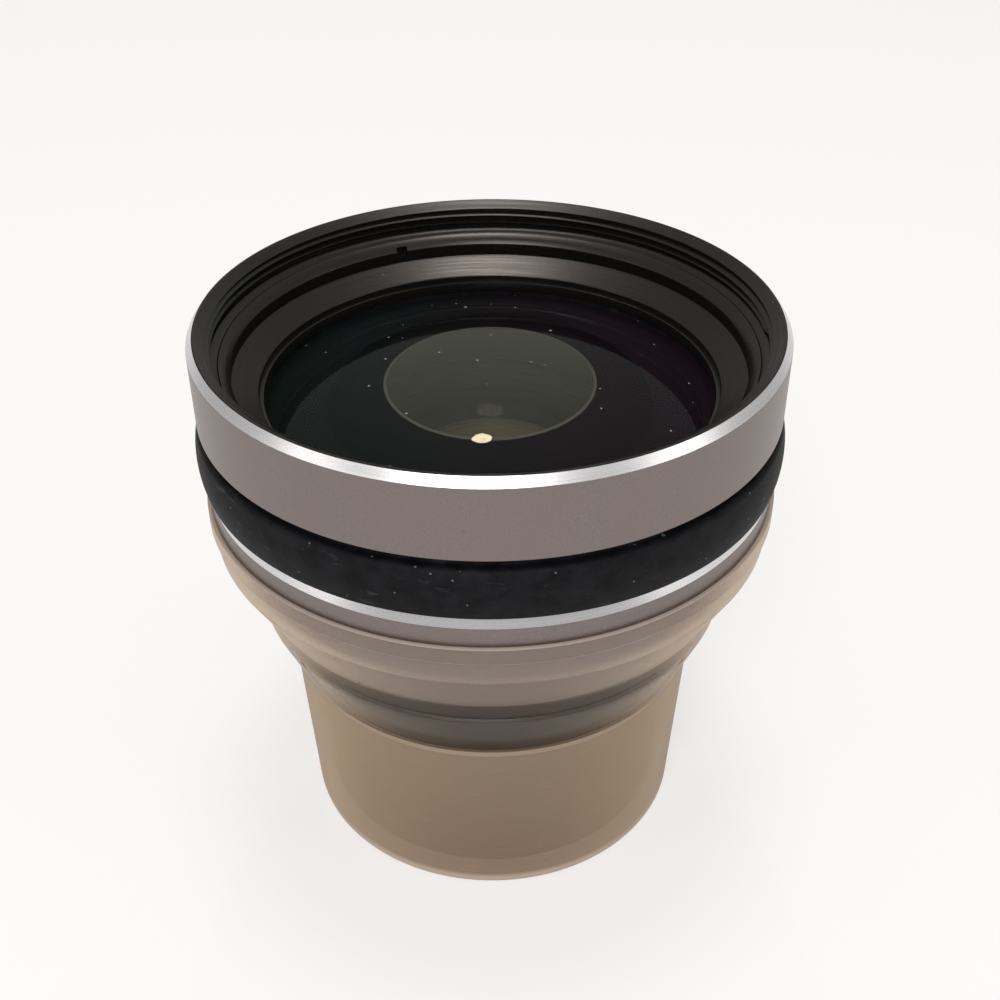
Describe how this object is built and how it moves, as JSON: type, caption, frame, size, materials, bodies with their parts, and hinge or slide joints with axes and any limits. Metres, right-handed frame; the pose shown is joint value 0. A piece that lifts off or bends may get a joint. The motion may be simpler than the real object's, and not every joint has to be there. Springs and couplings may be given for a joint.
{
  "type": "wide-angle conversion lens",
  "caption": "Wide-angle conversion lens in silver and black with a rubber grip, standing on its frosted screw-on rear cap.",
  "frame": {"origin": "middle of the rear cap's base, on the lens axis", "axes": "+Z along the lens axis towards the front glass; +X to the right of the pictured side, which faces -Y"},
  "size_m": [0.0558, 0.0558, 0.0551],
  "materials": {
    "frosted_cap": "frosted translucent polypropylene",
    "black_anodised": "satin black anodised",
    "silver_aluminium": "fine bead-blasted silver, bright diamond-cut edges",
    "screw_steel": "blackened steel",
    "grip_rubber": "smooth matt with dust and scuffs",
    "cushion_rubber": "matt",
    "shim_plastic": "matt black polyester",
    "front_glass": "polished, green and magenta coating",
    "rear_glass": "polished, coated"
  },
  "bodies": {
    "cap": {"rear_cap": "frosted_cap"},
    "lens": {"rear_mount_ring": "black_anodised", "rear_cell": "black_anodised", "cell_screws": "screw_steel", "crown_element": "rear_glass", "flint_element": "rear_glass", "rear_retaining_ring": "black_anodised", "stop_plate": "black_anodised", "inner_baffle": "black_anodised", "main_barrel": "silver_aluminium", "lock_screws": "screw_steel", "grip_ring": "grip_rubber", "name_ring": "silver_aluminium", "front_cell": "black_anodised", "front_shim": "shim_plastic", "front_element": "front_glass", "cushion_ring": "cushion_rubber", "glass_retaining_ring": "black_anodised", "cone_ring": "black_anodised", "spanner_ring": "black_anodised"}
  },
  "joints": [
    {"name": "cap_release", "type": "slide", "parent": "cap", "child": "lens", "axis": [0, 0, 1], "range_m": [0, 0.025]}
  ]
}
